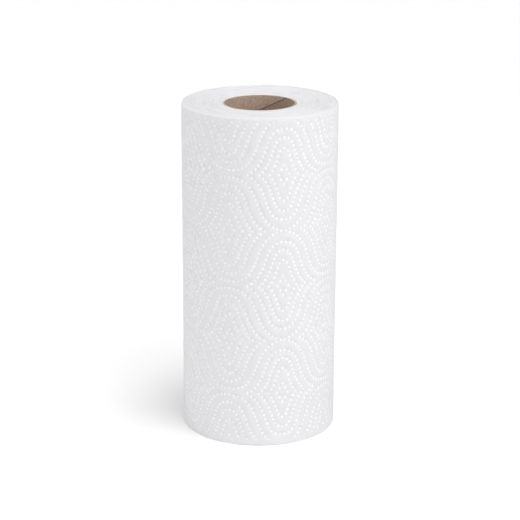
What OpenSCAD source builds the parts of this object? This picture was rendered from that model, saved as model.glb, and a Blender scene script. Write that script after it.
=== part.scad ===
/* [Roll] */
// Height of the roll, which is the width of the sheet
roll_h = 228; // [120:1:320]
// Radius of the roll at the free end of the sheet
roll_r = 53.2; // [40:0.1:90]
// Thickness of one embossed sheet, which is the step at its free end
sheet_t = 0.55; // [0.3:0.05:0.8]
// Rounding of the outer edge at the top
rim_r = 2; // [0.8:0.1:3]
// Rounding of the outer edge at the foot, where the weight of the roll presses it flat
foot_rim_r = 0.6; // [0.4:0.1:3]
// Angle round the roll at which the sheet ends, from the right hand side
tail_angle = 88; // [0:1:359]

/* [Turns at the ends] */
// Spacing of the turns that stand out in the end faces
turn_pitch = 2.2; // [1.6:0.1:4]
// Width of the gap between two of those turns
turn_gap_w = 0.4; // [0.2:0.05:0.8]
// Depth of that gap
turn_gap_d = 0.35; // [0.1:0.05:1]
// How far the turns at the core lie below the outer ones, at both ends
end_dish = 1.2; // [0.4:0.1:3]
// How far the outer turns stand out past the outermost ones
end_bulge = 0.2; // [0.1:0.05:0.6]
// Width of the band of outermost turns
outer_band_w = 3; // [2.2:0.1:6]

/* [Embossing] */
// Width of one repeat of the embossing, two columns of medallions
repeat_w = 74.3; // [50:0.1:120]
// Height of one repeat of the embossing
repeat_h = 76; // [40:0.5:120]
// Depth of the embossed lines as a share of the sheet's thickness
emboss_depth_share = 0.9; // [0.3:0.05:0.95]
// Length of one facet along an embossed line
facet_l = 7; // [6:0.5:12]

/* [Core] */
// Radius of the hole through the core
core_bore_r = 23.6; // [15:0.1:35]
// Thickness of each of the core's two plies of cardboard
core_ply_t = 0.4; // [0.25:0.05:0.8]
// How far the ends of the core lie inside the ends of the roll
core_recess = 1.4; // [0.3:0.1:4]
// Room between the core and the first turn
core_clearance = 0.1; // [0.05:0.05:0.3]
// Drop of the seam in one turn round the core
seam_lead = 75; // [50:1:160]
// Width of the open seam of the inner ply
seam_w = 0.7; // [0.4:0.1:1.5]
// Angle at which the seam reaches the top of the core, from the right hand side
seam_angle = 39; // [0:1:359]

/* [Hidden] */
$fn = 96;

// Overrun of every cut past the face that it opens
cut_overrun = 1;

// Core: the inner ply's seam is as deep as that ply
core_r = core_bore_r + 2 * core_ply_t;
core_h = roll_h - 2 * core_recess;
seam_slices_a_turn = 30;
seam_sides = 4;

// Turns: the hole in the paper, the turns that fit between it and the band, the turn at
// which the dish begins, and the place where the inner turns and the band run together
paper_hole_r = core_r + core_clearance;
turned_r = roll_r - outer_band_w;
turn_count = floor((turned_r - paper_hole_r) / turn_pitch - 1);
first_turn_r = (turned_r + paper_hole_r - turn_count * turn_pitch) / 2;
dish_r = first_turn_r + (turn_count - 1) * turn_pitch;
joint_r = (dish_r + turned_r) / 2;

// Depth of the dish at a distance from the middle of the roll
function dish_depth(r) = end_dish * max(0, dish_r - r) / (dish_r - paper_hole_r);

// Embossing: five rings round a tall medallion, the same first four round the next one.
// Each quarter of a ring is one curve from its side corner to the middle of its cap, in
// shares of half a repeat: where the corner and the cap lie, and where the curve's handles lie.
// The last entry is the plain strip between two neighbouring medallions.
corner_x_shares = [0.10, 0.26, 0.445, 0.66, 0.96, 1];
cap_y_shares = [0.175, 0.465, 0.645, 0.797, 0.935, 1];
cap_handle_shares = [0.1, 0.42, 0.56, 0.61, 0.69, 0.71];
corner_handle_x_shares = [0.62, 0.3, 0.39, 0.43, 0.3, 0.32];
corner_handle_y_shares = [0.3, 0.6, 0.42, 0.3, 0.17, 0.4];
tall_rings = 5;
short_rings = 4;
curve_steps = 24;

emboss_d = sheet_t * emboss_depth_share;
half_columns = max(4, round(2 * PI * roll_r / (repeat_w / 2)));
half_rows = 2 * max(1, round(roll_h / repeat_h));
column_angle = 360 / half_columns;
wall_low_z = end_bulge + foot_rim_r;
wall_high_z = roll_h - end_bulge - rim_r;
row_h = (wall_high_z - wall_low_z) / half_rows;
half_repeat = [roll_r * column_angle * PI / 180, row_h];
rim_steps = 3;

// Value of a table at a whole or half level
function level_value(shares, level) =
    (shares[floor(level)] + shares[ceil(level)]) / 2;

// Point of a ring's quarter at u, 0 at the side corner and 1 at the cap
function ring_point(level, u) =
    let (w = level_value(corner_x_shares, level))
    let (h = level_value(cap_y_shares, level))
    let (corner_handle_x = w * level_value(corner_handle_x_shares, level))
    let (corner_handle_y = h * level_value(corner_handle_y_shares, level))
    let (cap_handle_x = w * level_value(cap_handle_shares, level))
    let (v = 1 - u)
    v * v * v * [w, 0]
    + 3 * v * v * u * [corner_handle_x, corner_handle_y]
    + 3 * v * u * u * [cap_handle_x, h]
    + u * u * u * [0, h];

// Length of the way from one point to the next in a quarter, as it is on the paper
function paper_length(a, b) =
    norm([(b.x - a.x) * half_repeat.x, (b.y - a.y) * half_repeat.y]);

// A ring's quarter cut into facets of equal length, counted from the side corner
function ring_quarter(level) =
    let (dense = [for (i = [0 : curve_steps]) ring_point(level, i / curve_steps)])
    let (reach = [for (i = 0, l = 0; i <= curve_steps;
                       l = l + (i < curve_steps ? paper_length(dense[i], dense[i + 1]) : 0),
                       i = i + 1) l])
    let (xs = [for (i = [0 : curve_steps]) [reach[i], dense[i].x]])
    let (ys = [for (i = [0 : curve_steps]) [reach[i], dense[i].y]])
    let (facets = max(1, round(reach[curve_steps] / facet_l)))
    [for (i = [0 : facets])
        let (l = reach[curve_steps] * (i / facets))
        [lookup(l, xs), lookup(l, ys)]];

// The same quarter seen from the next medallion, turned end for end
function turned_quarter(points) =
    [for (i = [len(points) - 1 : -1 : 0]) [1 - points[i].x, 1 - points[i].y]];

// Lines of a quarter repeat, from the middle of a tall medallion to that of a short one.
// Whole levels are pressed in, and the half levels between them stand up.
quarter_lines = concat(
    [[[0, 0]]],
    [for (level = [0 : 0.5 : tall_rings - 1]) ring_quarter(level)],
    [ring_quarter(tall_rings)],
    [for (level = [short_rings - 1 : -0.5 : 0]) turned_quarter(ring_quarter(level))],
    [[[1, 1]]]);
line_pressed = concat(
    [false],
    [for (level = [0 : 0.5 : tall_rings - 1]) level == floor(level)],
    [false],
    [for (level = [short_rings - 1 : -0.5 : 0]) level == floor(level)],
    [false]);
line_count = len(quarter_lines);
line_start = [for (i = 0, n = 0; i < line_count; n = n + len(quarter_lines[i]), i = i + 1) n];
quarter_points = [for (i = [0 : line_count - 1])
    for (p = quarter_lines[i]) [p.x, p.y, line_pressed[i] ? 1 : 0]];
quarter_size = len(quarter_points);

// Triangles between a line of n facets from point a and one of m facets from point b
function strip(a, n, b, m) = concat(
    [for (i = [0 : 1 : n - 1])
        [a + i, a + i + 1, b + max(0, ceil((i + 0.5) * m / n - 0.5))]],
    [for (j = [0 : 1 : m - 1])
        [b + j + 1, b + j, a + (n == 0 ? 0 : floor((j + 0.5) * n / m - 0.5) + 1)]]);
quarter_faces = [for (i = [0 : line_count - 2])
    each strip(line_start[i], len(quarter_lines[i]) - 1,
               line_start[i + 1], len(quarter_lines[i + 1]) - 1)];

// Radius of the outer turn at a column, which grows by one sheet in a turn
function turn_radius(column) = roll_r - sheet_t * (1 - column / half_columns);

// Point of the roll at a column and height, with the given distance under its outer turn
function roll_point(column, z, under) =
    let (a = tail_angle + column * column_angle)
    let (r = turn_radius(column) - under)
    [r * cos(a), r * sin(a), z];

// Place of a quarter's coordinate in cell number i, where every second cell is mirrored
function unfolded(i, share) = i % 2 == 0 ? i + share : i + 1 - share;

wall_points = [for (i = [0 : half_columns - 1], j = [0 : half_rows - 1], p = quarter_points)
    roll_point(unfolded(i, p.x), wall_low_z + unfolded(j, p.y) * row_h, p.z * emboss_d)];
wall_faces = [for (i = [0 : half_columns - 1], j = [0 : half_rows - 1])
    let (start = (i * half_rows + j) * quarter_size)
    for (f = quarter_faces)
        (i + j) % 2 == 0 ? [start + f[0], start + f[1], start + f[2]]
                         : [start + f[0], start + f[2], start + f[1]]];

// Ends of the wall: the columns at which its lines end, and how deep they are there
foot_columns = [for (i = [0 : line_count - 1]) if (quarter_lines[i][0].y == 0)
    [quarter_lines[i][0].x, line_pressed[i] ? emboss_d : 0]];
foot_count = len(foot_columns) - 1;
end_columns = concat(
    [for (i = [0 : half_columns - 1], k = [0 : foot_count - 1])
        let (c = foot_columns[i % 2 == 0 ? k : foot_count - k])
        [unfolded(i, c.x), c.y]],
    [[half_columns, foot_columns[half_columns % 2 == 0 ? 0 : foot_count].y]]);
end_count = len(end_columns);

// Rounded rims: the line at which the wall ends, and further ones round to the end face
rim_points = [for (top = [0, 1], k = [0 : rim_steps], c = end_columns)
    let (a = 90 * k / rim_steps)
    let (edge_r = top == 0 ? foot_rim_r : rim_r)
    let (under = k == 0 ? c.y : edge_r * (1 - cos(a)))
    roll_point(c.x, top == 0 ? wall_low_z - edge_r * sin(a) : wall_high_z + edge_r * sin(a), under)];
rim_start = len(wall_points);
function rim_index(top, k, c) = rim_start + (top * (rim_steps + 1) + k) * end_count + c;
rim_faces = [for (top = [0, 1], k = [0 : rim_steps - 1], c = [0 : end_count - 2])
    let (a = rim_index(top, k, c))
    let (b = rim_index(top, k, c + 1))
    let (d = rim_index(top, k + 1, c))
    let (e = rim_index(top, k + 1, c + 1))
    each (top == 0 ? [[a, b, d], [b, e, d]] : [[a, d, b], [b, d, e]])];
end_faces = [for (top = [0, 1])
    [for (c = [0 : end_count - 1])
        rim_index(top, rim_steps, top == 0 ? c : end_count - 1 - c)]];

// Free end of the sheet: the step between the last point round the roll and the first
function side_order(i, last) =
    [for (k = [0 : line_count - 1])
        let (p = quarter_lines[k][last ? len(quarter_lines[k]) - 1 : 0])
        if (p.x == i) line_start[k] + (last ? len(quarter_lines[k]) - 1 : 0)];
function side_chain(column_cell, order) =
    [for (j = [0 : half_rows - 1], k = [(j == 0 ? 0 : 1) : len(order) - 1])
        (column_cell * half_rows + j) * quarter_size + order[j % 2 == 0 ? k : len(order) - 1 - k]];
start_chain = side_chain(0, side_order(0, true));
end_chain = side_chain(half_columns - 1,
                       half_columns % 2 == 0 ? side_order(0, true) : side_order(1, false));
tail_face = concat(
    [for (k = [rim_steps : -1 : 1]) rim_index(0, k, end_count - 1)],
    end_chain,
    [for (k = [1 : rim_steps]) rim_index(1, k, end_count - 1)],
    [for (k = [rim_steps : -1 : 1]) rim_index(1, k, 0)],
    [for (k = [len(start_chain) - 1 : -1 : 0]) start_chain[k]],
    [for (k = [1 : rim_steps]) rim_index(0, k, 0)]);

// Outer turn with its embossed lines and free end, filled to the middle
module embossed_turn() {
    polyhedron(points = concat(wall_points, rim_points),
               faces = concat(wall_faces, rim_faces, end_faces, [tail_face]));
}

// Section of the gap between two turns, with its tip down in the paper
module gap_section(r) {
    polygon([[r - turn_gap_w, turn_gap_d], [r, -turn_gap_d], [r + turn_gap_w, turn_gap_d]]);
}

// Spiral of the turns on an end face, drawn as half circles about two middles
module turn_spiral() {
    for (k = [0 : turn_count - 1]) {
        near_r = first_turn_r + k * turn_pitch;
        far_r = near_r + turn_pitch / 2;
        translate([0, 0, -dish_depth(near_r)])
            rotate_extrude(angle = 180) gap_section(near_r);
        translate([turn_pitch / 2, 0, -dish_depth(far_r)])
            rotate(180) rotate_extrude(angle = 180) gap_section(far_r);
    }
}

// Turns from the hole out to the band, with both ends dished
module inner_turns() {
    rotate_extrude() polygon([
        [paper_hole_r, end_dish], [dish_r, 0], [turned_r, 0],
        [turned_r, roll_h], [dish_r, roll_h], [paper_hole_r, roll_h - end_dish]]);
}

// Paper wound on the core, all turns in one piece
module towel_roll() {
    color([0.94, 0.94, 0.95]) difference() {
        union() {
            inner_turns();
            difference() {
                embossed_turn();
                translate([0, 0, -cut_overrun]) cylinder(r = joint_r, h = roll_h + 2 * cut_overrun);
            }
        }
        translate([0, 0, roll_h]) turn_spiral();
        mirror([0, 0, 1]) turn_spiral();
    }
}

// Cardboard tube of two plies wound in a spiral, with the inner ply's seam open
module core_tube() {
    seam_turns = (core_h + 2 * cut_overrun) / seam_lead;
    seam_foot_angle = seam_angle + 360 * (core_h + cut_overrun) / seam_lead;
    color([0.66, 0.57, 0.48]) translate([0, 0, core_recess]) difference() {
        cylinder(r = core_r, h = core_h);
        translate([0, 0, -cut_overrun]) cylinder(r = core_bore_r, h = core_h + 2 * cut_overrun);
        translate([0, 0, -cut_overrun]) rotate(seam_foot_angle)
            linear_extrude(height = core_h + 2 * cut_overrun, twist = 360 * seam_turns,
                           slices = ceil(seam_turns * seam_slices_a_turn), $fn = seam_sides)
                translate([core_bore_r - cut_overrun, -seam_w / 2])
                    square([cut_overrun + core_ply_t, seam_w]);
    }
}

core_tube();
towel_roll();
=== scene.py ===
import math

import bpy
import numpy as np
from mathutils import Matrix, Vector, geometry


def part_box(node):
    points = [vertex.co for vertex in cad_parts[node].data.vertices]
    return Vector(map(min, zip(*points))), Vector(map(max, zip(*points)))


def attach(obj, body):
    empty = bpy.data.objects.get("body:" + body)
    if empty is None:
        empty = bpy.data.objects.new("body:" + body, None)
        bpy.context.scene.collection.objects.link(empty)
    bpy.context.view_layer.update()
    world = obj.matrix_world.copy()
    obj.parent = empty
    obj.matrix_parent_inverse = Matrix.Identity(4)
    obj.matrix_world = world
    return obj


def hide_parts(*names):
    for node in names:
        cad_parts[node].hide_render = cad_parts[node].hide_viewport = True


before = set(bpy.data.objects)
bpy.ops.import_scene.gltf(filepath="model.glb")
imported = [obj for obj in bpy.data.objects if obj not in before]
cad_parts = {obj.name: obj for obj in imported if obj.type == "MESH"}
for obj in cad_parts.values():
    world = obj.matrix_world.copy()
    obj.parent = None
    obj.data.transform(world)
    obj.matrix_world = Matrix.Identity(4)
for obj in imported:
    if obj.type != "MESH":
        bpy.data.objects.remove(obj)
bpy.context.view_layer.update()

# View
# A lens a little over a metre in front of the roll, looking down on it by some seventeen degrees.
# The roll stands upright on its end, with the free end of the sheet at the back.
view_back = 1.1467
view_height = 0.4770
view_down = math.radians(17.477)
view_lean = 0.00385
view_lens_mm = 120.7
view_shift = 0.0017
view_nearest = 0.01

look = Vector((0, math.cos(view_down), -math.sin(view_down)))
upright = Vector((0, math.sin(view_down), math.cos(view_down)))
sideways = Vector((1, 0, 0))
picture_right = math.cos(view_lean) * sideways + math.sin(view_lean) * upright
picture_up = math.cos(view_lean) * upright - math.sin(view_lean) * sideways
camera = bpy.data.objects.new("camera", bpy.data.cameras.new("camera"))
camera.data.lens = view_lens_mm
camera.data.shift_x = view_shift
camera.data.clip_start = view_nearest
place = Matrix((picture_right, picture_up, -look)).transposed().to_4x4()
place.translation = Vector((0, -view_back, view_height))
camera.matrix_world = place
bpy.context.collection.objects.link(camera)
bpy.context.scene.camera = camera


# Core tube
# A stiff tube of two plies of grey-brown recycled board, wound in a spiral and glued. The inner
# ply's seam is open and runs round the inside. The tube was cut to length with the roll.
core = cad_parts["core_tube"]
core_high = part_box("core_tube")[1]
seam_drop = 0.075
seam_angle = math.radians(39)
seam_width = 0.0007
seam_blur = 1.6
# Beside the seam, on the side that tucks under, the board is darkened with painted shade: where along a
# turn it starts and how dark it gets
tuck_range = (0.76, 1.0)
tuck_painted_shade = 0.36
board_light = (0.71, 0.545, 0.437, 1)
board_dark = (0.48, 0.37, 0.30, 1)
# The flecks' colour, which is also the colour that the painted shade beside the seam darkens towards
board_fleck_and_shade = (0.25, 0.19, 0.155, 1)
# The seam's colour: its dark glue line together with painted shade in the open seam
board_seam_glue_and_shade = (0.05, 0.037, 0.03, 1)
board_cut = (0.50, 0.43, 0.32, 1)
board_roughness = 0.9
board_sheen = 0.15
# A pattern is given by its waves a metre, its layers and its roughness
mottle_pattern = (800, 3, 0.65)
mottle_range = (0.3, 0.72)
fleck_pattern = (1500, 2, 0.6)
fleck_range = (0.6, 0.76)
cut_end_range = (0.6, 0.9)
board_fibre_pattern = (900, 4, 0.65)
board_fibre_strength = 0.5
board_fibre_height = 0.0001


def new_material(name):
    """An empty node material, with its shader and a short way to add and join nodes."""
    material = bpy.data.materials.new(name)
    material.use_nodes = True
    tree = material.node_tree
    shader = tree.nodes["Principled BSDF"]

    def add(kind, *inputs, **settings):
        node = tree.nodes.new(kind)
        for key, value in settings.items():
            setattr(node, key, value)
        for index, value in enumerate(inputs):
            if isinstance(value, bpy.types.NodeSocket):
                tree.links.new(value, node.inputs[index])
            elif value is not None:
                node.inputs[index].default_value = value
        return node.outputs[0]

    return material, tree, shader, add


def cloudy(add, place, pattern):
    """Noise between 0 and 1 over a place, in a pattern's waves, layers and roughness."""
    return add("ShaderNodeTexNoise", place, None, *pattern)


def mixed(tree, factor, first, second):
    """Colour between two others, where the factor is a socket and the colours may be too."""
    node = tree.nodes.new("ShaderNodeMix")
    node.data_type = "RGBA"
    tree.links.new(factor, node.inputs[0])
    # Inputs 6 and 7 of a mix node take its two colours, and output 2 gives the mixed one
    for index, value in ((6, first), (7, second)):
        if isinstance(value, bpy.types.NodeSocket):
            tree.links.new(value, node.inputs[index])
        else:
            node.inputs[index].default_value = value
    return node.outputs[2]


def ramped(tree, factor, low, high):
    """Factor stretched so that low becomes 0 and high becomes 1, and cut off beyond."""
    node = tree.nodes.new("ShaderNodeMapRange")
    node.interpolation_type = "SMOOTHSTEP"
    tree.links.new(factor, node.inputs[0])
    node.inputs[1].default_value = low
    node.inputs[2].default_value = high
    return node.outputs[0]


def round_coordinates(tree, add, radius):
    """Place on a wall round the upright axis: its angle, the way round it and its height."""
    place = tree.nodes.new("ShaderNodeTexCoord").outputs["Object"]
    split = tree.nodes.new("ShaderNodeSeparateXYZ")
    tree.links.new(place, split.inputs[0])
    turn = add("ShaderNodeMath", split.outputs["Y"], split.outputs["X"], operation="ARCTAN2")
    way = add("ShaderNodeMath", turn, radius, operation="MULTIPLY")
    return place, turn, way, split.outputs["Z"]


def add_bump(tree, shader, relief, strength, distance):
    """Fine relief on a shader's surface."""
    bump = tree.nodes.new("ShaderNodeBump")
    bump.inputs["Strength"].default_value = strength
    bump.inputs["Distance"].default_value = distance
    tree.links.new(relief, bump.inputs["Height"])
    tree.links.new(bump.outputs[0], shader.inputs["Normal"])


def board_material():
    """Recycled board: mottled, flecked and fibrous, with a dark glue line and painted shade in the seam,
    painted shade beside it, and pale where it is cut.
    """
    material, tree, shader, add = new_material("core board")
    place, turn, way, height = round_coordinates(tree, add, core_high.x)
    mottle = cloudy(add, place, mottle_pattern)
    flecks = cloudy(add, place, fleck_pattern)
    tone = mixed(tree, ramped(tree, mottle, *mottle_range), board_dark, board_light)
    tone = mixed(tree, ramped(tree, flecks, *fleck_range), tone, board_fleck_and_shade)
    # Turns of the ply, counted from the seam, with painted shade on the side that tucks under
    drop = add("ShaderNodeMath", height, core_high.z, operation="SUBTRACT")
    drop = add("ShaderNodeMath", drop, seam_drop, operation="DIVIDE")
    around = add("ShaderNodeMath", turn, seam_angle, operation="SUBTRACT")
    around = add("ShaderNodeMath", around, 2 * math.pi, operation="DIVIDE")
    ply = add("ShaderNodeMath", around, drop, operation="ADD")
    ply = add("ShaderNodeMath", ply, operation="FRACT")
    shade = add("ShaderNodeMath", ramped(tree, ply, *tuck_range), tuck_painted_shade, operation="MULTIPLY")
    tone = mixed(tree, shade, tone, board_fleck_and_shade)
    # The open seam is painted dark: a glue line and painted shade in the gap
    seam_share = seam_width / (2 * math.pi * core_high.x)
    beside_seam = ramped(tree, ply, seam_share, seam_share * seam_blur)
    tone = mixed(tree, beside_seam, board_seam_glue_and_shade, tone)
    # Cut ends, where the pale inside of the board shows
    normal = tree.nodes.new("ShaderNodeNewGeometry").outputs["True Normal"]
    facing = tree.nodes.new("ShaderNodeSeparateXYZ")
    tree.links.new(normal, facing.inputs[0])
    upward = add("ShaderNodeMath", facing.outputs["Z"], operation="ABSOLUTE")
    tone = mixed(tree, ramped(tree, upward, *cut_end_range), tone, board_cut)
    tree.links.new(tone, shader.inputs["Base Color"])
    shader.inputs["Roughness"].default_value = board_roughness
    shader.inputs["Specular IOR Level"].default_value = board_sheen
    fibre_place = add("ShaderNodeCombineXYZ", way, height, 0)
    fibres = cloudy(add, fibre_place, board_fibre_pattern)
    add_bump(tree, shader, fibres, board_fibre_strength, board_fibre_height)
    return material


core.data.materials.clear()
core.data.materials.append(board_material())


# Wound turns
# About fifty turns of soft two-ply tissue, wound tightly on the core. Their cut edges make the
# two end faces: one spiral of thin ridges, no two quite level, which dips towards the core.
towel_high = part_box("towel_roll")[1]
roll_radius = towel_high.y
roll_height = towel_high.z
sheet_thickness = 0.00055
tail_angle = math.radians(88)
rim_radius = 0.002
foot_rim_radius = 0.0004
rim_lean = math.radians(60)
rim_reach_share = 0.85
core_gap = 0.0001
sheet_gap = 0.00020
missing_turns = 2
dish_radius = 0.04615
dish_depth = 0.0012
turn_steps = 128
ridge_gap_depth = 0.00018
ridge_shoulder_depth = 0.00003
# Across one turn: the share of its breadth and how deep the cut edge lies there
ridge_profile = ((0.0, ridge_gap_depth), (0.28, ridge_shoulder_depth), (0.52, 0.0),
                 (0.78, ridge_shoulder_depth))
profile_size = len(ridge_profile)
uneven_ridge = 0.00010
uneven_wave = 0.00010
ridge_room = 2 * uneven_ridge
wave_across = 900
wave_around = 1.7
wave_from_turn_to_turn = 2.1
top_seed = 11
foot_seed = 12
seed_step = 10
sharp_edge = math.radians(65)
paper_white = (0.785, 0.781, 0.799, 1)
paper_shade = (0.775, 0.771, 0.790, 1)
paper_roughness = 0.95
paper_sheen = 0.1
cloud_pattern = (160, 4, 0.6)
fibre_pattern = (1400, 3, 0.6)
cloud_range = (0.8, 1.15)
crepe_pattern = (1900, 3, 0.6)
crepe_rise_share = 0.25
crepe_height = 0.00008
edge_crepe_strength = 0.35
# Grey of the arcs on the cut edges: painted shade in the gaps where the turns lie less tightly
arc_painted_shade = (0.70, 0.697, 0.71, 1)
arc_pattern = (1, 2, 0.6)
arc_range = (0.48, 0.68)
arcs_around = 3.5
arcs_a_metre = 1000


def smooth_noise(way, seed, octaves=3, waves=3, slowest=0.6, fastest=1.6):
    """A wandering value of about plus or minus one, from slow waves with seeded phases."""
    draw = np.random.default_rng(seed)
    total = np.zeros_like(way)
    for octave in range(octaves):
        for _ in range(waves):
            pace = draw.uniform(slowest, fastest) * 2 ** octave
            total += np.sin(way * pace + draw.uniform(0, 2 * math.pi)) / (octave + 1)
    return total / waves


def mesh_piece(name, points, faces, material):
    """A piece from its points and faces, smooth but for its sharp edges."""
    mesh = bpy.data.meshes.new(name)
    whole_faces = [tuple(int(corner) for corner in face) for face in faces]
    mesh.from_pydata([tuple(point) for point in points], [], whole_faces)
    mesh.materials.append(material)
    mesh.shade_smooth()
    mesh.set_sharp_from_angle(angle=sharp_edge)
    piece = bpy.data.objects.new(name, mesh)
    bpy.context.collection.objects.link(piece)
    return piece


def paper_material(name, crepe_strength):
    """Soft tissue: cool white, faintly cloudy, with the fine crepe that runs up the sheet."""
    material, tree, shader, add = new_material(name)
    place, _, way, height = round_coordinates(tree, add, roll_radius)
    cloud = cloudy(add, place, cloud_pattern)
    fibre = cloudy(add, place, fibre_pattern)
    blend = add("ShaderNodeMath", cloud, fibre, operation="ADD")
    tone = mixed(tree, ramped(tree, blend, *cloud_range), paper_shade, paper_white)
    tree.links.new(tone, shader.inputs["Base Color"])
    shader.inputs["Roughness"].default_value = paper_roughness
    shader.inputs["Specular IOR Level"].default_value = paper_sheen
    low_height = add("ShaderNodeMath", height, crepe_rise_share, operation="MULTIPLY")
    crepe_place = add("ShaderNodeCombineXYZ", way, low_height, 0)
    crepe = cloudy(add, crepe_place, crepe_pattern)
    add_bump(tree, shader, crepe, crepe_strength, crepe_height)
    return material, tree, shader, add


def edge_material():
    """The turns' cut edges: paper with fine grey arcs of painted shade, where the turns lie less
    tightly.
    """
    material, tree, shader, add = paper_material("towel cut edge", edge_crepe_strength)
    tone = shader.inputs["Base Color"].links[0].from_socket
    place = tree.nodes.new("ShaderNodeTexCoord").outputs["Object"]
    flat = add("ShaderNodeVectorMath", place, (1, 1, 0), operation="MULTIPLY")
    heading = add("ShaderNodeVectorMath", flat, operation="NORMALIZE")
    heading = add("ShaderNodeVectorMath", heading, (arcs_around,) * 3, operation="MULTIPLY")
    reach = tree.nodes.new("ShaderNodeVectorMath")
    reach.operation = "LENGTH"
    tree.links.new(flat, reach.inputs[0])
    across = add("ShaderNodeMath", reach.outputs["Value"], arcs_a_metre, operation="MULTIPLY")
    across = add("ShaderNodeCombineXYZ", 0, 0, across)
    arc_place = add("ShaderNodeVectorMath", heading, across, operation="ADD")
    arcs = cloudy(add, arc_place, arc_pattern)
    # The arcs are painted shade, darkening the cut edges towards grey
    tone = mixed(tree, ramped(tree, arcs, *arc_range), tone, arc_painted_shade)
    tree.links.new(tone, shader.inputs["Base Color"])
    return material


first_turn_radius = core_high.x + core_gap
wound_thickness = roll_radius - first_turn_radius - sheet_thickness - sheet_gap
# The turns lie a little loose, so there are fewer than the sheet's thickness would allow
turn_count = round(wound_thickness / sheet_thickness) - missing_turns
stations = turn_count * turn_steps


def end_ridges(top):
    """Points of one end face: four across the turn at each station along the spiral."""
    station = np.arange(stations + turn_steps + 1)
    angle = tail_angle + station * 2 * math.pi / turn_steps
    turn_number = station // turn_steps
    share = (station % turn_steps) / turn_steps
    edge_radius = rim_radius if top else foot_rim_radius
    lean_in = edge_radius * (1 - math.cos(rim_lean))
    turn_pitch = (wound_thickness - lean_in) / (turn_count + 1)
    base_radius = first_turn_radius + turn_pitch * station / turn_steps
    rim_start = roll_radius - edge_radius - sheet_thickness
    # Heights of the single turns, with slow waves across the turns and along them
    seed = top_seed if top else foot_seed
    lift = np.random.default_rng(seed).normal(0, uneven_ridge, turn_count + 3)
    level = lift[turn_number] * (1 - share) + lift[turn_number + 1] * share
    level = level + uneven_wave * smooth_noise(base_radius * wave_across, seed + seed_step)
    along = angle * wave_around + turn_number * wave_from_turn_to_turn
    level = level + uneven_ridge * smooth_noise(along, seed + 2 * seed_step)
    rows = []
    for outward, depth in ridge_profile:
        radius = base_radius + outward * turn_pitch
        past_rim = np.clip(radius - rim_start, 0, edge_radius * rim_reach_share)
        drop = edge_radius - np.sqrt(edge_radius ** 2 - past_rim ** 2)
        dish = dish_depth * np.clip((dish_radius - radius) / (dish_radius - first_turn_radius), 0, 1)
        under = np.maximum(depth - level + ridge_room, 0) + drop + dish
        z = roll_height - under if top else under
        rows.append(np.stack([radius * np.cos(angle), radius * np.sin(angle), z], axis=1))
    return np.stack(rows, axis=1)


def wound_turns():
    """The two ridged ends, the hole, the outside under the last sheet, and the spiral's ends."""
    points = np.concatenate([end_ridges(False).reshape(-1, 3), end_ridges(True).reshape(-1, 3)])
    face_size = len(points) // 2
    step = np.arange(stations)
    faces = []
    for row in range(profile_size):
        inner = step * profile_size + row
        outer = inner + 1 if row + 1 < profile_size else (step + turn_steps) * profile_size
        low = np.stack([inner, inner + profile_size, outer + profile_size, outer], axis=1)
        faces += low.tolist() + (low[:, ::-1] + face_size).tolist()
    gap = np.arange(turn_steps) * profile_size
    hole = np.stack([gap, gap + face_size, gap + profile_size + face_size, gap + profile_size], axis=1)
    faces += hole.tolist() + (hole[:, ::-1] + stations * profile_size).tolist()
    for station, order in ((0, 1), (stations, -1)):
        low = [station * profile_size + row for row in range(profile_size)]
        low.append((station + turn_steps) * profile_size)
        high = [corner + face_size for corner in low[::-1]]
        faces.append((low + high)[::order])
    # Only the points that a face uses are kept
    used, faces_flat = np.unique(np.concatenate(faces), return_inverse=True)
    ends = np.cumsum([len(face) for face in faces])
    return points[used], np.split(faces_flat.reshape(-1), ends[:-1])


points, faces = wound_turns()
turns = mesh_piece("wound_turns", points, faces, edge_material())
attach(turns, "root")
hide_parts("towel_roll")


# Outer sheet
# The last turn of the towel, which shows all round the roll. Steel pins have pressed rows of
# small dimples into it, in nested rings with pointed sides. Its free end lies on the roll's back.
half_columns = 9
half_rows = 6
column_angle = 2 * math.pi / half_columns
row_height = roll_height / half_rows
half_width = roll_radius * column_angle
quarter_size = np.array([half_width, row_height])
# Where each ring's side corner and cap lie, in shares of a quarter of one repeat
corner_x_shares = (0.10, 0.26, 0.44, 0.655, 0.96, 1)
cap_y_shares = (0.17, 0.465, 0.65, 0.80, 0.94, 1)
inner_cap_handle_share = 0.35
outer_cap_handle_share = 0.70
inner_corner_rise_share = 0.60
outer_corner_rise_share = 0.20
corner_handle_share = 0.35
curve_steps = 200
dots_a_quarter = (2, 6, 10, 12.5, 17)
tall_rings = 5
short_rings = 4
dimple_radius = 0.0013
dimple_depth = 0.00064
dimple_sides = 8
# From a dimple's middle outwards: the share of its radius and how far it is pressed there
dimple_rings = ((0.0, 1.0), (0.5, 1.0), (1.0, 0.0))
line_depth = 0.00005
# Marks of the points that no pin presses: between the dots of a row, and on plain paper
on_line = -1
on_plain = -2
fill_spacing = 0.0033
clear_of_dot = 0.0019
clear_of_fill = 0.0014
clear_of_border = 0.0009
wall_wander = 0.00006
swell_around = 1.3
swell_bend = 1.2
swell_bend_up = 23
swell_seed = 5
ripple_around = 0.9
ripple_up = 55
ripple_seed = 6
# Waves of the pins' pressure: their size, their pace round the roll and up it, and their seed
press_waves = ((0.06, 9, 160, 7), (0.04, 31, -420, 8))
foot_smooth = 0.007
top_smooth = 0.0045
plain_end_share = 0.2
tail_lift = 0.0005
tail_lift_columns = 0.15
paper_pressed = (0.975, 0.975, 0.977, 1)
pressed_range = (0.05, 1.0)
face_crepe_strength = 0.2
# Grey of the cuts across the sheet: painted shade in the slits
perforation_painted_shade = (0.66, 0.66, 0.68, 1)
sheet_length = 0.280
tear_half_width = 0.00018
tear_blur = 1.5
tear_spacing = 0.0035
tear_bridge_range = (0.70, 0.75)


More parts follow.
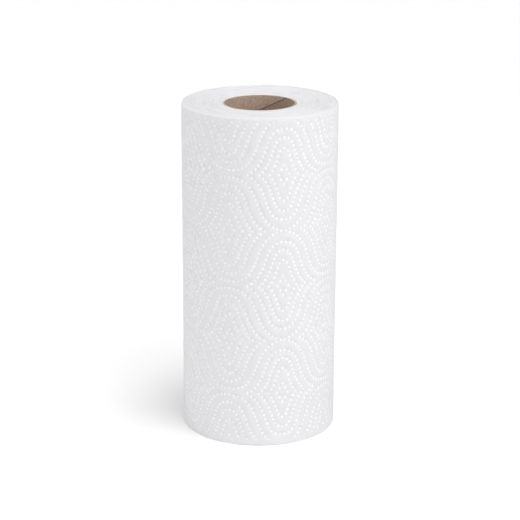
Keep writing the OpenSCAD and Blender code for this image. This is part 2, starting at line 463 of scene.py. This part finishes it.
def ring_points(level, spacing=None, count=None):
    """Points along a quarter ring from its side corner to its cap, in metres on the sheet."""
    low = math.floor(level)
    high = math.ceil(level)

    def between(shares):
        return (shares[low] + shares[high]) / 2

    corner = np.array([between(corner_x_shares), 0])
    cap = np.array([0, between(cap_y_shares)])
    # From ring to ring outwards the cap grows broader and the side corner more pointed
    outward = min(1, level / (tall_rings - 1))
    rise = inner_corner_rise_share + (outer_corner_rise_share - inner_corner_rise_share) * outward
    breadth = inner_cap_handle_share + (outer_cap_handle_share - inner_cap_handle_share) * outward
    corner_pull = np.array([corner[0] * corner_handle_share, cap[1] * rise])
    cap_pull = np.array([corner[0] * breadth, cap[1]])
    along = np.linspace(0, 1, curve_steps)[:, None]
    curve = ((1 - along) ** 3 * corner + 3 * (1 - along) ** 2 * along * corner_pull
             + 3 * (1 - along) * along ** 2 * cap_pull + along ** 3 * cap)
    curve = curve * quarter_size
    reach = np.concatenate([[0], np.cumsum(np.linalg.norm(np.diff(curve, axis=0), axis=1))])
    if count is None:
        count = max(1, round(reach[-1] / spacing))
    marks = np.arange(math.floor(count) + 1) * reach[-1] / count
    return np.stack([np.interp(marks, reach, curve[:, 0]), np.interp(marks, reach, curve[:, 1])], axis=1)


def dot_rows():
    """A quarter's dots, the middles between neighbours, and the plain lines between the rings."""
    dots = []
    middles = []
    lines = []
    for turned, rings in ((False, tall_rings), (True, short_rings)):
        for level in range(rings):
            ring = ring_points(level, count=dots_a_quarter[level])
            dots.append(quarter_size - ring if turned else ring)
            middles.append((dots[-1][1:] + dots[-1][:-1]) / 2)
            if not turned or level + 1 < rings:
                next_level = level + 0.5 if level + 1 < tall_rings else tall_rings
                line = ring_points(next_level, spacing=fill_spacing)
                lines.append(quarter_size - line if turned else line)
    return np.concatenate(dots), np.concatenate(middles), lines


def plain_points(dots, middles, lines):
    """Points clear of the dots: the borders of the quarter, then the strips between the rings."""
    x_steps, y_steps = [round(length / fill_spacing) for length in quarter_size]
    fill = [(x, y) for x in np.linspace(0, half_width, x_steps + 1) for y in (0, row_height)]
    fill += [(x, y) for y in np.linspace(0, row_height, y_steps + 1) for x in (0, half_width)]
    inside = np.concatenate([middles] + lines)
    from_border = np.minimum(inside, quarter_size - inside).min(axis=1)
    fill = np.concatenate([fill, inside[from_border > clear_of_border]])
    kept = []
    for spot in fill:
        is_corner = np.isin(spot / quarter_size, (0, 1)).all()
        from_dots = np.linalg.norm(dots - spot, axis=1).min()
        from_fill = np.linalg.norm(np.array(kept) - spot, axis=1).min() if kept else math.inf
        if is_corner and from_fill > 0 or from_dots > clear_of_dot and from_fill > clear_of_fill:
            kept.append(spot)
    return kept


def quarter_repeat():
    """Points of a quarter of one repeat with how far each is pressed in, and the triangles."""
    dots, middles, lines = dot_rows()
    spots = []
    for reach, press in dimple_rings:
        for side in range(dimple_sides if reach else 1):
            angle = 2 * math.pi * side / dimple_sides
            around = reach * dimple_radius * np.array([math.cos(angle), math.sin(angle)])
            spots += [(x, y, press) for x, y in dots + around]
    same_place = 1e-9
    for spot in plain_points(dots, middles, lines):
        from_line = np.linalg.norm(middles - spot, axis=1).min()
        spots.append((*spot, on_line if from_line < same_place else on_plain))
    # Points past the border belong to the next quarter, which is this one's mirror image
    tiny = 1e-7
    tiny_digits = 7
    spots = np.array(spots)
    spots = spots[((spots[:, :2] > -tiny) & (spots[:, :2] < quarter_size + tiny)).all(axis=1)]
    for axis, length in enumerate(quarter_size):
        spots[np.abs(spots[:, axis]) < tiny, axis] = 0
        spots[np.abs(spots[:, axis] - length) < tiny, axis] = length
    _, first = np.unique(np.round(spots[:, :2], tiny_digits), axis=0, return_index=True)
    spots = spots[np.sort(first)]
    # The triangles are found in millimetres, and their corners named by the points' own numbers
    millimetres = 1000
    flat = [Vector((x * millimetres, y * millimetres)) for x, y in spots[:, :2]]
    result = geometry.delaunay_2d_cdt(flat, [], [], 0, tiny)
    found_faces = result[2]
    own_numbers = result[3]
    triangles = np.array([[own_numbers[corner][0] for corner in face] for face in found_faces])
    press = np.clip(spots[:, 2], 0, 1)
    depth = np.where(spots[:, 2] == on_plain, 0, line_depth + (dimple_depth - line_depth) * press)
    return spots[:, :2], depth, press, triangles


def unfolded_face():
    """The whole face, mirrored from the quarter: columns, rows, depth, press and triangles."""
    spots, depth, press, triangles = quarter_repeat()
    x_share = spots[:, 0] / half_width
    y_share = spots[:, 1] / row_height
    columns = []
    rows = []
    faces = []
    for column in range(half_columns):
        for row in range(half_rows):
            columns.append(column + (x_share if column % 2 == 0 else 1 - x_share))
            rows.append(row + (y_share if row % 2 == 0 else 1 - y_share))
            start = (column * half_rows + row) * len(spots)
            faces.append(start + (triangles if (column + row) % 2 == 0 else triangles[:, ::-1]))
    columns = np.concatenate(columns)
    rows = np.concatenate(rows)
    # Points that two quarters share become one
    share_steps = 1e6
    keys = np.round(np.stack([columns, rows], axis=1) * share_steps).astype(np.int64)
    _, first, shared = np.unique(keys, axis=0, return_index=True, return_inverse=True)
    depth = np.tile(depth, half_columns * half_rows)[first]
    press = np.tile(press, half_columns * half_rows)[first]
    faces = shared.reshape(-1)[np.concatenate(faces)]
    return columns[first], rows[first], depth, press, faces


def sheet_profile(paper_height):
    """Distance in from the wall, and height, of the sheet at a height measured along it."""
    foot_bend = np.clip(rim_lean - paper_height / foot_rim_radius, 0, rim_lean)
    top_bend = np.clip(rim_lean - (roll_height - paper_height) / rim_radius, 0, rim_lean)
    share = np.clip((paper_height - foot_rim_radius * rim_lean)
                    / (roll_height - (foot_rim_radius + rim_radius) * rim_lean), 0, 1)
    inward = foot_rim_radius * (1 - np.cos(foot_bend)) + rim_radius * (1 - np.cos(top_bend))
    z = (foot_rim_radius * (1 - np.sin(foot_bend)) + rim_radius * np.sin(top_bend)
         + share * (roll_height - foot_rim_radius - rim_radius))
    return inward, z


def bent_face(columns, rows, depth):
    """The face's points round the roll, which swells a little and isn't pressed quite evenly."""
    angle = tail_angle + columns * column_angle
    inward, z = sheet_profile(rows * row_height)
    swell = smooth_noise(angle * swell_around + np.sin(z * swell_bend_up) * swell_bend, swell_seed)
    ripple = smooth_noise(z * ripple_up + angle * ripple_around, ripple_seed)
    uneven = 1
    for size, around, up, seed in press_waves:
        uneven = uneven + size * smooth_noise(angle * around + z * up, seed)
    lifted = tail_lift * np.clip(1 - (half_columns - columns) / tail_lift_columns, 0, 1) ** 2
    radius = (roll_radius - sheet_thickness * (1 - columns / half_columns) + lifted
              - inward - depth * uneven + wall_wander * (swell + ripple - 1))
    return np.stack([radius * np.cos(angle), radius * np.sin(angle), z], axis=1)


def outer_sheet():
    """The dimpled face with the sheet's plain underside and its four edges."""
    columns, rows, depth, press, faces = unfolded_face()
    # Towards the two ends the dimples fade out
    from_foot = rows * row_height / foot_smooth
    from_top = (half_rows - rows) * row_height / top_smooth
    kept_share = (np.minimum(from_foot, from_top) - plain_end_share) / (1 - plain_end_share)
    kept_share = np.clip(kept_share, 0, 1)
    press = press * kept_share
    points = bent_face(columns, rows, depth * kept_share)
    # Points of the four edges, each in its order
    tiny = 1e-9
    foot = np.flatnonzero(rows < tiny)
    foot = foot[np.argsort(columns[foot])]
    head = np.flatnonzero(rows > half_rows - tiny)
    head = head[np.argsort(columns[head])]
    start = np.flatnonzero(columns < tiny)
    start = start[np.argsort(rows[start])]
    tail = np.flatnonzero(columns > half_columns - tiny)
    tail = tail[np.argsort(rows[tail])]
    # Underside: one long facet from end to end for each point of the two cut edges
    edge = points[np.concatenate([foot, head])]
    thinner = 1 - sheet_thickness / np.hypot(edge[:, 0], edge[:, 1])
    under = edge * np.stack([thinner, thinner, np.ones(len(edge))], axis=1)
    under_foot = len(points) + np.arange(len(foot))
    under_head = under_foot + len(foot)
    faces = faces.tolist()
    for here in range(len(foot) - 1):
        beyond = here + 1
        faces.append((foot[here], under_foot[here], under_foot[beyond], foot[beyond]))
        faces.append((head[here], head[beyond], under_head[beyond], under_head[here]))
        faces.append((under_foot[here], under_head[here], under_head[beyond], under_foot[beyond]))
    faces.append((*tail, under_head[-1], under_foot[-1]))
    faces.append((*start[::-1], under_foot[0], under_head[0]))
    return np.concatenate([points, under]), faces, np.concatenate([press, np.zeros(len(under))])


def face_material():
    """The towel's face: whiter where it is pressed, with painted shade in the cuts at which the last
    sheet tears.
    """
    material, tree, shader, add = paper_material("towel face", face_crepe_strength)
    tone = shader.inputs["Base Color"].links[0].from_socket
    pressed = tree.nodes.new("ShaderNodeAttribute")
    pressed.attribute_name = "pressed"
    tone = mixed(tree, ramped(tree, pressed.outputs["Fac"], *pressed_range), tone, paper_pressed)
    _, _, way, height = round_coordinates(tree, add, roll_radius)
    tear_way = roll_radius * (tail_angle + 2 * math.pi) - sheet_length
    from_tear = add("ShaderNodeMath", way, tear_way, operation="SUBTRACT")
    from_tear = add("ShaderNodeMath", from_tear, operation="ABSOLUTE")
    beside = ramped(tree, from_tear, tear_half_width, tear_half_width * tear_blur)
    along = add("ShaderNodeMath", height, tear_spacing, operation="DIVIDE")
    along = add("ShaderNodeMath", along, operation="FRACT")
    bridge = ramped(tree, along, *tear_bridge_range)
    whole = add("ShaderNodeMath", beside, bridge, operation="MAXIMUM")
    # The cuts are painted grey, as shade in the slits
    tone = mixed(tree, whole, perforation_painted_shade, tone)
    tree.links.new(tone, shader.inputs["Base Color"])
    return material


points, faces, press = outer_sheet()
sheet = mesh_piece("outer_sheet", points, faces, face_material())
pressed = sheet.data.attributes.new("pressed", "FLOAT", "POINT")
pressed.data.foreach_set("value", press)
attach(sheet, "root")
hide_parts("towel_roll")


# Studio
# A broad white floor in a soft surround, which is bright at the left and falls to dark at the right.
# One lamp hangs over the roll and one in front of it, and a soft box shines across it from the right.
floor_reach = 4.0
floor_white = (0.985, 0.985, 0.985, 1)
surround_strength = 0.478
surround_change = (-surround_strength, 0.0, 0.0)
# A lamp's name, strength and spread, then its degrees above the floor and to the right of the front
lamps = (("overhead lamp", 1.0, 22, 78, 82), ("front lamp", 0.79, 30, 60, 20))
box_strength = 1.95
box_width = 0.5
box_height = 0.35
box_reach = 0.8
box_above_floor = 0.44
box_side = 60

corners = [(x, y, 0) for x, y in ((-1, -1), (1, -1), (1, 1), (-1, 1))]
floor_paint, _, floor_shader, _ = new_material("floor white")
floor_shader.inputs["Base Color"].default_value = floor_white
floor_shader.inputs["Roughness"].default_value = 1.0
floor_shader.inputs["Specular IOR Level"].default_value = 0.0
floor = mesh_piece("floor", np.array(corners) * floor_reach, [(0, 1, 2, 3)], floor_paint)

# The surround's light is its strength plus its change to the right, but it is seen as plain white
world = bpy.data.worlds.new("surround")
world.use_nodes = True
bpy.context.scene.world = world
surround = world.node_tree.nodes["Background"]
surround.inputs["Color"].default_value = (1, 1, 1, 1)
direction = world.node_tree.nodes.new("ShaderNodeTexCoord")
change = world.node_tree.nodes.new("ShaderNodeVectorMath")
change.operation = "DOT_PRODUCT"
world.node_tree.links.new(direction.outputs["Generated"], change.inputs[0])
change.inputs[1].default_value = surround_change
shine = world.node_tree.nodes.new("ShaderNodeMath")
world.node_tree.links.new(change.outputs["Value"], shine.inputs[0])
shine.inputs[1].default_value = surround_strength
rays = world.node_tree.nodes.new("ShaderNodeLightPath")
seen = world.node_tree.nodes.new("ShaderNodeMath")
seen.operation = "MAXIMUM"
world.node_tree.links.new(rays.outputs["Is Camera Ray"], seen.inputs[0])
world.node_tree.links.new(rays.outputs["Is Glossy Ray"], seen.inputs[1])
# Inputs 2 and 3 of a mix node take its two numbers, here the light given and the white seen
shown = world.node_tree.nodes.new("ShaderNodeMix")
world.node_tree.links.new(seen.outputs[0], shown.inputs[0])
world.node_tree.links.new(shine.outputs[0], shown.inputs[2])
shown.inputs[3].default_value = 1.0
world.node_tree.links.new(shown.outputs[0], surround.inputs["Strength"])


def way_to(side, up):
    """Direction to a lamp, in degrees to the right of the front and above the floor."""
    turn = math.radians(side)
    climb = math.radians(up)
    return Vector((math.sin(turn) * math.cos(climb), -math.cos(turn) * math.cos(climb), math.sin(climb)))


for name, strength, spread, up, side in lamps:
    lamp = bpy.data.objects.new(name, bpy.data.lights.new(name, "SUN"))
    lamp.data.energy = strength
    lamp.data.angle = math.radians(spread)
    lamp.rotation_euler = way_to(side, up).to_track_quat("Z", "Y").to_euler()
    bpy.context.collection.objects.link(lamp)

box = bpy.data.objects.new("soft box", bpy.data.lights.new("soft box", "AREA"))
box.data.shape = "RECTANGLE"
box.data.size = box_width
box.data.size_y = box_height
box.data.energy = box_strength
box.visible_camera = False
box.location = way_to(box_side, 0) * box_reach + Vector((0, 0, box_above_floor))
aim = box.location - Vector((0, 0, roll_height / 2))
box.rotation_euler = aim.to_track_quat("Z", "Y").to_euler()
bpy.context.collection.objects.link(box)

bpy.context.scene.view_settings.view_transform = "Standard"
